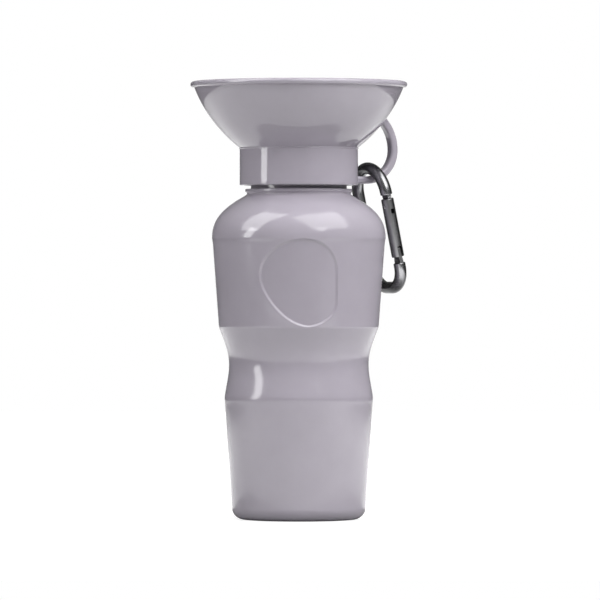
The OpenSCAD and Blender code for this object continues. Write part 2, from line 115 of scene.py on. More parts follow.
class BottleSizes(bpy.types.PropertyGroup):
    """Sizes of the blow-moulded bottle and its neck."""

    base_r: length("Base radius", "Outside radius just above the base corner", 33.5)
    base_corner: length("Base corner", "Radius of the rounded corner round the base", 6)
    stand_ring: length("Standing ring", "Width of the flat ring underneath", 4.5)
    push_up: length("Push-up", "Height of the dished middle of the base", 3.5)
    hip_r: length("Hip radius", "Widest radius of the lower grip", 37.1)
    hip_z: length("Hip height", "Height of the widest place of the lower grip", 60.5)
    waist_r: length("Waist radius", "Radius of the waist", 34.95)
    waist_z: length("Waist height", "Height of the waist", 77.5)
    chest_r: length("Chest radius", "Radius where the waist runs out into the chest", 40.1)
    chest_z: length("Chest height", "Height where the waist runs out into the chest", 97.6)
    belly_r: length("Belly radius", "Largest radius of the bottle", 43.45)
    belly_z: length("Belly height", "Height of the largest radius", 140.8)
    root_z: length("Neck root", "Height where the shoulder meets the groove under the bead", 162.1)
    wall: length("Wall", "Thickness of the wall", 1.6)
    neck_r: length("Neck radius", "Outside radius of the neck under its thread", 24)
    neck_wall: length("Neck wall", "Thickness of the neck's wall", 2)
    bead_r: length("Bead radius", "Outside radius of the bead under the neck", 26.8)
    bead_h: length("Bead height", "Height of the bead and its groove", 3)
    bead_groove: length("Bead groove", "Depth of the groove under the bead", 0.9)
    pad_z: length("Pad height", "Height of the thumb pad's middle", 118)
    pad_depth: length("Pad depth", "Depth of the thumb pad", 0.65)
    pad_bevel: length("Pad bevel", "Width of the step round the thumb pad", 1.1)
    pad_lip: length("Pad lip", "Height of the soft ridge round the thumb pad", 0.13)
    pad_lip_w: length("Pad lip width", "Width of the soft ridge round the thumb pad", 4)
    thread_h: length("Thread height", "How far the neck's thread stands out", 2.1)
    thread_lead: length("Thread lead", "Rise of the thread in one turn", 4.23)


class BowlSizes(bpy.types.PropertyGroup):
    """Sizes of the drinking bowl and its screw collar."""

    rim_r: length("Rim radius", "Outside radius of the rolled rim", 54.3)
    rim_h: length("Rim height", "Height of the rolled rim", 3.1)
    rim_out: length("Rim overhang", "How far the rim stands out past the wall", 2)
    wall: length("Wall", "Thickness of the bowl's wall", 2)
    floor_r: length("Floor radius", "Radius of the flat floor", 20)
    collar_r: length("Collar radius", "Outside radius of the screw collar", 29.6)
    collar_wall: length("Collar wall", "Thickness of the collar's wall", 2.4)
    collar_h: length("Collar height", "Height of the collar", 19)
    boss_r: length("Boss radius", "Radius of the boss under the floor", 2.6)
    port_r: length("Port radius", "Radius of one port", 1.9)
    ports: bpy.props.IntProperty(
        name="Ports", description="Number of ports through the floor", default=6, min=3, max=8)


class LoopSizes(bpy.types.PropertyGroup):
    """Sizes of the carry loop."""

    azimuth: bpy.props.FloatProperty(
        name="Direction", description="Direction of the loop round the bottle, from +X",
        default=math.radians(25), subtype="ANGLE", unit="ROTATION")
    reach: length("Reach", "Reach of the loop from the bottle's axis", 54)
    thick: length("Thickness", "Thickness of the loop in its own plane", 3.75)
    width: length("Width", "Width of the loop across its plane", 5.8)
    edge: length("Edge", "Radius of the loop's rounded edges", 1.2)
    rise: length("Rise", "Height of the widest place above the collar's edge", 18.1)
    low_r: length("Lower bend", "Radius of the lower bend to its middle line", 15.2)
    high_r: length("Upper bend", "Radius of the upper bend to its middle line", 21.5)
    foot: length("Foot", "Thickness of the foot on the collar", 1)


class CarabinerSizes(bpy.types.PropertyGroup):
    """Sizes of the carabiner."""

    wire: length("Wire", "Thickness of the wire", 6)
    width: length("Width", "Distance between the middle lines of its sides", 26.5)
    length: length("Length", "Length between the middle lines of its ends", 61.5)
    low_corner: length("Lower corner", "Radius of the lower corners", 11)
    gate: length("Gate", "Diameter of the gate", 6.3)
    gate_l: length("Gate length", "Length of the gate", 29.8)
    gate_top: length("Gate top", "Distance of the gate's upper end below the top", 15.8)
    pin_r: length("Pin radius", "Radius of the rivet and of the latch pin", 0.9)
    tongue: length("Tongue", "Thickness of the tongues at either end of the gate", 2)


class Finishes(bpy.types.PropertyGroup):
    """Colours of the object."""

    plastic: colour("Plastic", "Bottle and bowl plastic", (0.400, 0.370, 0.425))
    natural: colour("Natural plastic", "Insert and dip tube", (0.78, 0.79, 0.80))
    silicone: colour("Silicone", "Gasket, ring and stopper", (0.10, 0.105, 0.115))
    wire: colour("Wire", "Carabiner frame", (0.46, 0.46, 0.475))
    gate: colour("Gate", "Carabiner gate", (0.36, 0.36, 0.37))
    steel: colour("Steel", "Rivet, pin and spring", (0.62, 0.62, 0.63))


# ---------- outlines, in the plane of radius and height ----------

def curve(start, leave, arrive, end, count):
    """Cubic curve from start to end without its last point: the Bernstein sum of the two ends
    and of the handles leave and arrive, each measured from its own end."""
    t = np.linspace(0.0, 1.0, count, endpoint=False)[:, None]
    start, end = np.asarray(start, float), np.asarray(end, float)
    p1, p2 = start + leave, end + arrive
    return ((1 - t)**3 * start + 3 * (1 - t)**2 * t * p1 + 3 * (1 - t) * t**2 * p2 + t**3 * end)


def arc(centre, radius, start, end, count):
    """Arc centre + radius (cos a, sin a) between two angles in degrees, with both ends."""
    a = np.radians(np.linspace(start, end, count))
    return np.asarray(centre, float) + radius * np.stack([np.cos(a), np.sin(a)], axis=1)


def line(start, end, count):
    """Evenly spaced points from start to end, without the last one."""
    return np.linspace(np.asarray(start, float), np.asarray(end, float), count, endpoint=False)


def tangents(points):
    """Unit tangent at each point of a line: its gradient over the gradient's length."""
    tangent = np.gradient(points, axis=0)
    return tangent / np.linalg.norm(tangent, axis=1, keepdims=True)


def run_along(points):
    """Distance from the first point to each point, measured along the line."""
    return np.concatenate([[0], np.cumsum(np.linalg.norm(np.diff(points, axis=0), axis=1))])


def moved_left(points, distance):
    """The line moved to its left: each point goes along the normal of its own tangent."""
    x, y = tangents(points).T
    return points + distance * np.stack([-y, x], axis=1)


def filleted(corners, count=5, closed=True):
    """Rounds each corner (x, y, radius): a quadratic curve between the points where an arc of
    that radius would touch both sides, pulled to the corner."""
    size = len(corners)
    spots = np.array([corner[:2] for corner in corners], float)
    t = np.linspace(0.0, 1.0, count)[:, None]
    rounded = []
    for i, here in enumerate(spots):
        radius = corners[i][2]
        if radius <= 0 or (not closed and i in (0, size - 1)):
            rounded.append(here[None, :])
            continue
        before, after = spots[i - 1] - here, spots[(i + 1) % size] - here
        reach = min(np.linalg.norm(before), np.linalg.norm(after)) * 0.49
        before /= np.linalg.norm(before)
        after /= np.linalg.norm(after)
        half = math.acos(float(np.clip(before @ after, -1, 1))) / 2
        touch = min(radius / math.tan(half), reach)
        rounded.append((1 - t)**2 * (here + touch * before) + 2 * t * (1 - t) * here
                       + t**2 * (here + touch * after))
    return np.concatenate(rounded)


def turned_profile(corners, count=5):
    """A filleted outline that starts and ends on the axis, without those two points."""
    return filleted(corners, count, closed=False)[1:-1]


def rod_outline(radius, low, high, edge):
    """Outline of a round bar with rounded ends, from the middle of one end to the other."""
    return turned_profile([(0, low, 0), (radius, low, edge), (radius, high, edge), (0, high, 0)],
                          6)


def smooth(t):
    """Ease from 0 to 1 with level ends: 3t^2 - 2t^3."""
    t = np.clip(t, 0.0, 1.0)
    return t * t * (3 - 2 * t)


# ---------- meshes ----------

def in_scene(name, data):
    """A new object of the data, linked to the scene."""
    thing = bpy.data.objects.new(name, data)
    bpy.context.scene.collection.objects.link(thing)
    return thing


def shade(mesh, sharp):
    """Shades a mesh smooth, apart from edges sharper than an angle in degrees."""
    mesh.shade_smooth()
    mesh.set_sharp_from_angle(angle=math.radians(sharp))


def add_mesh(name, verts, faces, sharp=35.0):
    """Makes an object of vertices in millimetres and faces, turned outwards and shaded."""
    verts = np.asarray(verts, float) * MM
    mesh = bpy.data.meshes.new(name)
    mesh.from_pydata(verts, [], faces)
    mesh.update()
    mesh.calc_loop_triangles()
    tri = np.empty(len(mesh.loop_triangles) * 3, np.int64)
    mesh.loop_triangles.foreach_get("vertices", tri)
    # the sum of a . (b x c) is six times the enclosed volume, and below 0 inside out
    a, b, c = np.moveaxis(verts[tri.reshape(-1, 3)], 1, 0)
    if np.einsum("ij,ij->", a, np.cross(b, c)) < 0:
        mesh.flip_normals()
    shade(mesh, sharp)
    return in_scene(name, mesh)


def grid_faces(rows, columns, ring=False):
    """Four-sided faces of a grid whose columns go round, and with ring its rows too."""
    r, c = np.meshgrid(np.arange(rows if ring else rows - 1), np.arange(columns), indexing="ij")
    here, above = r * columns, (r + 1) % rows * columns
    after = (c + 1) % columns
    faces = np.stack([here + c, here + after, above + after, above + c], axis=-1)
    return faces.reshape(-1, 4).tolist()


def add_rows(name, grid, ring=False, sharp=35.0, place=None):
    """Makes rows of points a mesh: the rows joined in a ring, or closed at both ends by a pole
    in the middle of the row."""
    rows, columns = grid.shape[:2]
    verts = grid.reshape(-1, 3)
    faces = grid_faces(rows, columns, ring)
    if not ring:
        verts = np.concatenate([verts, [grid[0].mean(axis=0), grid[-1].mean(axis=0)]])
        first = np.arange(columns)
        after = np.roll(first, -1)
        last = (rows - 1) * columns
        for pole, a, b in ((0, after, first), (1, first + last, after + last)):
            faces += np.stack([np.full(columns, rows * columns + pole), a, b], axis=1).tolist()
    return add_mesh(name, verts if place is None else place(verts), faces, sharp)


def full_turn(count):
    """Angles of a full turn, without the last one."""
    return np.linspace(0.0, 2 * math.pi, count, endpoint=False)


def turned(r, z, angles):
    """Points (r cos a, r sin a, z) for radii, heights and angles that fit one grid."""
    return np.stack(np.broadcast_arrays(r * np.cos(angles), r * np.sin(angles), z), axis=-1)


def lathe_grid(outline, angles):
    """Turns an outline of (radius, height) about Z: one row of turned points for each."""
    return turned(*np.asarray(outline, float).T[..., None], angles)


def lathe(name, outline, count=96, ring=True, place=None):
    """A turned piece. Without ring, its two ends are closed on the axis."""
    return add_rows(name, lathe_grid(outline, full_turn(count)), ring, place=place)


def pressed_in(grid, shrink):
    """Moves each point of turned rows towards the axis, from r to r - shrink."""
    radius = np.hypot(grid[..., 0], grid[..., 1])
    grid[..., :2] *= (1 - shrink / np.maximum(radius, 1.0))[..., None]


def upright(flat, y=0.0):
    """Points (x, z) stood up in space: (x, y, z) with one y."""
    return np.stack([flat[:, 0], np.full(len(flat), y), flat[:, 1]], axis=1)


def sweep(name, flat, section, scale, place):
    """Carries a section along a path in X and Z: p + s (x n + y b), where n lies in the path's
    plane, square to it, b is the Y axis, and s is the scale at each station."""
    path, across = upright(flat), np.array([0.0, 1.0, 0.0])
    normal = np.cross(across, tangents(path))
    x, y = section.T[:, None, :, None]
    grid = path[:, None] + scale[:, None, None] * (x * normal[:, None] + y * across)
    return add_rows(name, grid, place=place)


def slab(name, outline, depth, place):
    """A flat plate: an outline in X and Z, given a thickness along Y, with bevelled edges."""
    count = len(outline)
    faces = grid_faces(2, count) + [list(range(count))[::-1], list(range(count, 2 * count))]
    sides = [upright(outline, -depth / 2), upright(outline, depth / 2)]
    piece = add_mesh(name, place(np.concatenate(sides)), faces)
    soften = piece.modifiers.new("soft edges", "BEVEL")
    soften.width, soften.segments, soften.limit_method = 0.12 * MM, 2, "ANGLE"
    return piece


def block(name, low, high, place):
    """A plain box between two corners, used as a cutter."""
    pick = np.indices((2, 2, 2)).reshape(3, -1).T
    faces = [[0, 1, 3, 2], [4, 6, 7, 5], [0, 4, 5, 1], [2, 3, 7, 6], [0, 2, 6, 4], [1, 5, 7, 3]]
    return add_mesh(name, place(np.where(pick, high, low)), faces)


def cut(piece, cutters, sharp):
    """Takes the cutters out of the piece, keeps the result as its mesh and deletes the cutters."""
    for cutter in cutters:
        opening = piece.modifiers.new("opening", "BOOLEAN")
        opening.object, opening.operation, opening.solver = cutter, "DIFFERENCE", "EXACT"
    graph = bpy.context.evaluated_depsgraph_get()
    mesh = bpy.data.meshes.new_from_object(piece.evaluated_get(graph))
    piece.modifiers.clear()
    piece.data = mesh
    shade(mesh, sharp)
    for cutter in cutters:
        bpy.data.objects.remove(cutter, do_unlink=True)


def dress(piece, body, slot, material, *nodes):
    """Gives a piece its material, lets it ride on its body and stand for its nodes. The slot is
    not used.
    """
    piece.data.materials.clear()
    piece.data.materials.append(material)
    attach(piece, body)
    if nodes:
        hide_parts(*nodes)


# ---------- shared node groups and materials ----------

def feed(tree, value, socket):
    """Gives a socket a plain value, or links another socket to it."""
    if isinstance(value, bpy.types.NodeSocket):
        tree.links.new(value, socket)
    else:
        socket.default_value = value


def feed_all(tree, sockets, values):
    """Feeds each socket its value. A socket's key is its number, or its name with _ or spaces."""
    for key, value in values.items():
        feed(tree, value, sockets[key if isinstance(key, int) else key.replace("_", " ")])


def add_node(tree, kind, values=None, **settings):
    """A shader node with its settings made and its input sockets fed; returns its outputs."""
    node = tree.nodes.new("ShaderNode" + kind)
    for name, value in settings.items():
        setattr(node, name, value)
    feed_all(tree, node.inputs, values or {})
    return node.outputs


def maths(tree, operation, result, *others):
    """Math nodes that take sockets or numbers in, one after another; returns the last output."""
    for other in others or (0.0,):
        result = add_node(tree, "Math", {0: result, 1: other}, operation=operation)[0]
    return result


def noise(tree, vector, scale, detail, rough=0.5):
    """A noise texture; returns its value."""
    return add_node(tree, "TexNoise", {"Vector": vector, "Scale": scale, "Detail": detail,
                                       "Roughness": rough})["Fac"]


def ramp(tree, value, low, high):
    """Stretches low..high to 0..1 and clamps it."""
    return add_node(tree, "MapRange", {"Value": value, "From Min": low, "From Max": high})[
        "Result"]


def object_place(tree, stretch=(1.0, 1.0, 1.0)):
    """Object coordinates, stretched along each axis."""
    place = add_node(tree, "TexCoord")["Object"]
    return add_node(tree, "Mapping", {"Vector": place, "Scale": stretch})["Vector"]


def away_from_middle(tree, stretch=(1.0, 1.0, 1.0)):
    """Length of the stretched Object coordinates."""
    return add_node(tree, "VectorMath", {0: object_place(tree, stretch)},
                    operation="LENGTH")["Value"]


def new_group(name, inputs, outputs):
    """A node group with named numbers: (group, its sockets in, feeding its sockets out)."""
    group = bpy.data.node_groups.new(name, "ShaderNodeTree")
    for label, default in inputs.items():
        socket = group.interface.new_socket(name=label, in_out="INPUT",
                                            socket_type="NodeSocketFloat")
        socket.default_value, socket.min_value, socket.max_value = default, 0.0, 6000.0
    for label in outputs:
        group.interface.new_socket(name=label, in_out="OUTPUT", socket_type="NodeSocketFloat")
    return (group, group.nodes.new("NodeGroupInput").outputs,
            group.nodes.new("NodeGroupOutput").inputs)


def moulded_skin():
    """Skin of moulded plastic: a slow ripple of the wall and the fine grain of the tool."""
    group, given, out = new_group(
        "moulded_skin", {"Ripple Scale": 28.0, "Grain Scale": 1600.0, "Grain": 0.25},
        ("Height", "Cloud"))
    place = object_place(group)
    grain = maths(group, "MULTIPLY", noise(group, place, given["Grain Scale"], 3.0),
                  given["Grain"])
    ripple = noise(group, place, given["Ripple Scale"], 2.0)
    feed_all(group, out, {"Height": maths(group, "ADD", ripple, grain),
                          "Cloud": noise(group, place, 55.0, 4.0, 0.6)})
    return group


def handling_marks():
    """Marks of use: soft smudges and sparse fine hairlines that run mostly round the piece."""
    group, given, out = new_group("handling_marks", {"Smudges": 0.5, "Scratches": 0.3},
                                  ("Marks",))
    place = object_place(group)
    smudge = ramp(group, noise(group, place, 30.0, 3.0), 0.30, 0.75)
    fine = noise(group, object_place(group, (1.0, 1.0, 30.0)), 60.0, 2.0)
    where = ramp(group, noise(group, place, 45.0, 1.0), 0.5, 0.62)
    off = maths(group, "ABSOLUTE", maths(group, "SUBTRACT", fine, 0.5))
    hairs = maths(group, "MULTIPLY", ramp(group, off, 0.012, 0.0), where)
    feed(group, maths(group, "ADD", maths(group, "MULTIPLY", smudge, given["Smudges"]),
                      maths(group, "MULTIPLY", hairs, given["Scratches"])), out["Marks"])
    return group


def worn_edges():
    """Where an edge is rubbed: outward corners from Pointiness, broken up by noise."""
    group, given, out = new_group("worn_edges", {"Amount": 0.5}, ("Mask",))
    corner = ramp(group, add_node(group, "NewGeometry")["Pointiness"], 0.515, 0.60)
    broken = ramp(group, noise(group, object_place(group), 900.0, 4.0, 0.7), 0.35, 0.7)
    feed(group, maths(group, "MULTIPLY", corner, broken, given["Amount"]), out["Mask"])
    return group


def use_group(tree, make, **values):
    """Places a shared group, made the first time, in a material with its own values."""
    shared = bpy.data.node_groups.get(make.__name__) or make()
    return add_node(tree, "Group", values, node_tree=shared)


def tint(tree, mask, plain, marked):
    """A colour that goes from plain to marked with the mask; plain may be a socket."""
    start = plain if isinstance(plain, bpy.types.NodeSocket) else (*plain, 1.0)
    return add_node(tree, "Mix", {"Factor": mask, "A": start, "B": (*marked, 1.0)},
                    data_type="RGBA")["Result"]


def scaled(rgb, factor):
    """A colour made lighter or darker."""
    return tuple(min(1.0, c * factor) for c in rgb)


def blank_material(name):
    """A new material with its Principled shader: (material, node tree, shader)."""
    material = bpy.data.materials.get(name) or bpy.data.materials.new(name)
    material.use_nodes = True
    return material, material.node_tree, material.node_tree.nodes["Principled BSDF"]


def finished(name, surface, height_scale, **plain):
    """A material whose surface(tree) gives base colour, roughness and height. The height goes
    through a Bump node into the normal, and the plain values stay on the shader's sockets."""
    material, tree, shader = blank_material(name)
    base, rough, height = surface(tree)
    bump = add_node(tree, "Bump", {"Distance": height_scale, "Strength": 1.0, "Height": height})
    feed_all(tree, shader.inputs, {"Base Color": base, "Roughness": rough,
                                   "Normal": bump["Normal"], **plain})
    return material


def moulded_plastic(name, rgb, rough, cloud=0.06, ripple=0.00006, soft=0.0, grain=0.25):
    """Glossy moulded plastic with a faint clouding of its colour and handling marks."""
    def surface(tree):
        skin = use_group(tree, moulded_skin, Grain=grain)
        marks = use_group(tree, handling_marks, Smudges=0.05, Scratches=0.03)
        return (tint(tree, skin["Cloud"], scaled(rgb, 1 - cloud), scaled(rgb, 1 + cloud)),
                maths(tree, "ADD", marks["Marks"], rough), skin["Height"])

    inside = {"Subsurface_Weight": soft, "Subsurface_Radius": (0.004, 0.0035, 0.0045),
              "Subsurface_Scale": 1.0} if soft else {}
    return finished(name, surface, ripple, IOR=1.5, Specular_IOR_Level=0.7, **inside)


def silicone(name, rgb):
    """Matt silicone rubber with a fine tooth."""
    def surface(tree):
        skin = use_group(tree, moulded_skin, Ripple_Scale=200.0, Grain_Scale=3000.0, Grain=0.6)
        rough = maths(tree, "ADD", maths(tree, "MULTIPLY", skin["Cloud"], 0.2), 0.45)
        return (tint(tree, skin["Cloud"], scaled(rgb, 0.85), scaled(rgb, 1.2)), rough,
                skin["Height"])

    return finished(name, surface, 0.00003)


def satin_metal(name, rgb, rough, wear):
    """Satin metal with painted shade where it turns away from the view, light rubbed edges and
    handling marks.
    """
    def surface(tree):
        edges = use_group(tree, worn_edges, Amount=wear)
        marks = use_group(tree, handling_marks, Smudges=0.12, Scratches=0.10)
        skin = use_group(tree, moulded_skin, Ripple_Scale=300.0, Grain_Scale=4000.0, Grain=0.7)
        # painted shade: the colour darkens to a sixth towards the edges that turn away from the
        # view
        facing = add_node(tree, "LayerWeight", {"Blend": 0.5})["Facing"]
        painted_grazing_shade = tint(tree, ramp(tree, facing, 0.02, 0.45), rgb, scaled(rgb, 0.16))
        return (tint(tree, edges["Mask"], painted_grazing_shade, scaled(rgb, 1.5)),
                maths(tree, "ADD", marks["Marks"], rough), skin["Height"])

    return finished(name, surface, 0.000012, Metallic=1.0)


# ---------- bottle ----------

def thread_ridge(grid, start, lead, turns, width):
    """Height of a screw thread from 0 to 1: a soft-sided ridge along the helix
    z = start + lead * angle / 2 pi, which fades in and out at its two ends."""
    fade, whole = 0.6, 2 * math.pi
    azimuth = np.mod(np.arctan2(grid[..., 1], grid[..., 0]), whole)
    ridge = np.zeros(grid.shape[:2])
    for turn in range(math.ceil(turns) + 1):
        along = azimuth + whole * turn
        off = np.abs(grid[..., 2] - start - lead * along / whole)
        ends = smooth(along / fade) * smooth((turns * whole - along) / fade)
        ridge = np.maximum(ridge, ends * smooth((width / 2 - off) / (width * 0.28)))
    return ridge


def pebble(pad_z, count=14):
    """The thumb pad's outline in X and Z: four curves and one straight side."""
    middle = np.array([0.0, pad_z])
    top, left, bottom, right_low, right_high = (
        middle + spot for spot in ((3, 21.2), (-18.6, 4), (4.6, -20.7), (18.3, -9.4),
                                   (18.3, 5.7)))
    return np.concatenate([
        curve(top, (-11, 0), (0, 10), left, count),
        curve(left, (0, -9), (-10.6, 0), bottom, count),
        curve(bottom, (5.9, 0), (0, -6.1), right_low, count),
        line(right_low, right_high, 6),
        curve(right_high, (0, 8.8), (9.4, 0), top, count)])


def inside_distance(points, outline):
    """Distance from each point to the nearest side of a closed outline, negative outside: a
    point is inside where an odd number of sides cross the level to its right."""
    side = np.roll(outline, -1, axis=0) - outline
    to = points[:, None, :] - outline
    t = np.clip(np.einsum("nki,ki->nk", to, side) / np.einsum("ki,ki->k", side, side), 0, 1)
    gap = np.linalg.norm(to - t[..., None] * side, axis=2).min(axis=1)
    above = outline[:, 1] > points[:, 1:2]
    rise = np.where(side[:, 1] == 0, 1e-12, side[:, 1])
    at = outline[:, 0] + to[..., 1] / rise * side[:, 0]
    crosses = (above != np.roll(above, -1, axis=1)) & (points[:, 0:1] < at)
    return np.where(np.sum(crosses, axis=1) % 2 == 1, gap, -gap)


def bottle_side(s):
    """Outline of the bottle's side from the base corner up to the neck: two straight tapers,
    each with a rounded-over upper end, joined by the waist."""
    hip, waist, chest, belly = (np.array([getattr(s, f"{place}_r"), getattr(s, f"{place}_z")])
                                for place in ("hip", "waist", "chest", "belly"))
    root = np.array([s.bead_r - s.bead_groove / 2, s.root_z])
    hip_edge, chest_edge, belly_edge = hip - (0.25, 3.5), chest - (0.35, 2.1), belly - (0.45, 3.5)
    flank_low, flank_high = hip + (-0.75, 5.5), waist + (0.75, -7.8)
    fall = np.array([0.17, -1.0])
    return np.concatenate([
        arc([s.base_r - s.base_corner, s.base_corner], s.base_corner, -90, -6, 9),
        line([s.base_r, s.base_corner], hip_edge, 14),
        curve(hip_edge, (0.14, 2), (0, -1), hip, 8),
        curve(hip, (0, 1.6), 2 * fall, flank_low, 10),
        line(flank_low, flank_high, 8),
        curve(flank_high, -2.4 * fall, (0, -3.2), waist, 10),
        curve(waist, (0, 7), (-1.65, -4.4), chest_edge, 14),
        curve(chest_edge, (0.26, 0.7), (-0.06, -0.8), chest, 8),
        line(chest, belly_edge, 98),
        curve(belly_edge, (0.17, 2.2), (0, -1), belly, 10),
        curve(belly, (0, 9.6), (11.1, -6.1), root, 28)])


def base_dish(s, rise):
    """Underside of the base, from its middle to the ring that the bottle stands on."""
    edge = s.base_r - s.base_corner - s.stand_ring
    return np.concatenate([
        curve([0, s.push_up + rise], (edge / 2, 0), (-5, 0), [edge, rise], 10)[1:],
        [[edge, rise]]])


def bottle_outline(s):
    """Closed outline of the bottle's wall, outside first, and how many points are outside."""
    side = bottle_side(s)
    bead_top = s.root_z + s.bead_h
    bore = s.neck_r - s.neck_wall
    groove = s.bead_r - s.bead_groove
    bead = filleted([
        (groove + 0.45, s.root_z, 0), (groove, s.root_z + 0.6, 0.5),
        (groove + 0.2, s.root_z + 1.1, 0.3), (s.bead_r, s.root_z + 1.6, 0.5),
        (s.bead_r, bead_top, 0.35), (s.neck_r, bead_top, 0.3),
        (s.neck_r, bead_top + 1.5, 0)], 4, closed=False)
    rim = filleted([
        (s.neck_r, BOTTLE_TOP - 0.6, 0), (s.neck_r, BOTTLE_TOP, 0.4), (bore, BOTTLE_TOP, 0.4),
        (bore, BOTTLE_TOP - 2, 0), (bore, s.root_z + 1, 0)], 4, closed=False)
    inner = moved_left(side[::4], s.wall)
    inner = inner[(inner[:, 1] > 2.6) & (inner[:, 0] > bore)]
    outside = np.concatenate([base_dish(s, 0), side])
    neck = line([s.neck_r, bead_top + 1.7], [s.neck_r, BOTTLE_TOP - 0.7], 46)
    return (np.concatenate([outside, bead, neck, rim, inner[::-1], base_dish(s, 2)[::-1]]),
            len(outside))


def bottle_angles():
    """Angles round the bottle, close together across the thumb pad at the front."""
    front = np.radians(34)
    dense = np.linspace(-front, front, 146, endpoint=False)
    wide = np.linspace(front, 2 * math.pi - front, 94, endpoint=False)
    return np.concatenate([dense, wide]) - math.pi / 2


class BOTTLE_OT_moulding(bpy.types.Operator):
    """Builds the blow-moulded bottle with its thumb pad, neck thread and dished base"""

    bl_idname = "travel_bottle.moulding"
    bl_label = "Bottle"

    def execute(self, context):
        s = InMillimetres(context.scene.travel_bottle)
        outline, outside = bottle_outline(s)
        grid = lathe_grid(outline, bottle_angles())
        x, y, z = np.moveaxis(grid, -1, 0)
        # thumb pad: the wall is pressed in along the radius, inside a soft low ridge, and its
        # outline is only worked out on the part of the front that holds the pad and the ridge
        front = (y < 0) & (np.abs(x) < 26) & (z > s.chest_z - 8) & (z < s.belly_z + 6)
        front[outside:] = False
        past = s.pad_bevel + inside_distance(np.stack([x[front], z[front]], axis=1),
                                             pebble(s.pad_z))
        lip = s.pad_lip * smooth((past + s.pad_lip_w) / s.pad_lip_w)
        shrink = np.zeros(z.shape)
        shrink[front] = (s.pad_depth + s.pad_lip) * smooth(past / s.pad_bevel) - lip
        radius = np.hypot(x, y)
        # the ridge stays inside the belly's radius
        shrink = np.maximum(shrink, np.minimum(radius - s.belly_r, 0))
        # neck thread
        neck = (np.abs(radius - s.neck_r) < 0.01) & (z > s.root_z + 4)
        ridge = thread_ridge(grid, s.root_z + THREAD_START, s.thread_lead, turns=1.6, width=2.0)
        shrink[neck] = -s.thread_h * ridge[neck]
        pressed_in(grid, shrink)
        plastic = moulded_plastic("squeeze_plastic", context.scene.travel_finishes.plastic, 0.09,
                                  soft=0.05)
        dress(add_rows("bottle_moulding", grid, sharp=50.0), "bottle", "bottle", plastic,
              "bottle_body")
        return {"FINISHED"}


# ---------- bowl ----------

def bowl_side(b):
    """Outside of the bowl from the collar's top up to the rim."""
    wall_r, low = b.rim_r - b.rim_out, BOWL_TOP - b.rim_h
    return np.concatenate([
        curve([b.collar_r + 0.3, COLLAR_TOP], (9.7, 7.6), (-4.2, -11.3), [wall_r, low], 60),
        [[wall_r, low]]])


def bowl_outline(b):
    """Closed outline from the middle of the floor's underside round to its top."""
    rim_z = BOWL_TOP - b.rim_h / 2
    floor_z = WEB_Z + 2.5
    collar_z = COLLAR_TOP - b.collar_h
    side = bowl_side(b)
    inside = moved_left(side, b.wall)
    bore = b.collar_r - b.collar_wall
    spigot_z = INSERT_HIGH.z - 10.2
    ring_z = (RING_LOW.z + RING_HIGH.z) / 2
    groove_r, groove_low, groove_high = 10.4, ring_z - 1.05, ring_z + 1.05
    lip_r, edge_r = b.rim_h / 2, 1.1
    inner_lip = b.rim_r - b.rim_out - b.wall
    boss_end = STOPPER_LOW.z + 3.5
    under = filleted([
        (0, boss_end, 0), (b.boss_r, boss_end, 0.2), (b.boss_r, WEB_Z, 0.4),
        (SPIGOT_BORE, WEB_Z, 0.4), (SPIGOT_BORE, spigot_z, 0.3), (SPIGOT_R, spigot_z, 0.5),
        (SPIGOT_R, groove_low, 0.15), (groove_r, groove_low, 0.15),
        (groove_r, groove_high, 0.15), (SPIGOT_R, groove_high, 0.15), (SPIGOT_R, WEB_Z, 0.5),
        (bore, WEB_Z, 0.8), (bore, WEB_Z - 1.2, 0)], 4, closed=False)[1:]
    collar = filleted([
        (bore, collar_z + 1.6, 0), (bore, collar_z, 0.5), (b.collar_r, collar_z, 0.35),
        (b.collar_r, collar_z + 2, 0), (b.collar_r, COLLAR_TOP - 0.9, 0)], 4, closed=False)
    ledge = arc([b.collar_r - 0.25, COLLAR_TOP - 0.6], 0.55, 0, 45, 4)
    lip = arc([b.rim_r - lip_r, rim_z], lip_r, -70, 92, 18)
    inner_edge = arc([inner_lip + edge_r, rim_z + lip_r - edge_r], edge_r, 90, 180, 8)
    wall = inside[inside[:, 1] < rim_z - 0.5][::-1]
    bottom = curve([b.floor_r, floor_z], (3.5, 0), (-3.6, -2.4), inside[0], 14)[::-1]
    dome = arc([0, floor_z - 7.2], 8.4, 59, 90, 8)[:-1]
    return np.concatenate([
        under, line([bore, WEB_Z - 1.4], [bore, collar_z + 1.8], 60), collar, ledge, side[1:],
        lip, inner_edge, wall, bottom,
        line([b.floor_r - 1, floor_z], [dome[0][0] + 0.3, floor_z], 8), dome])


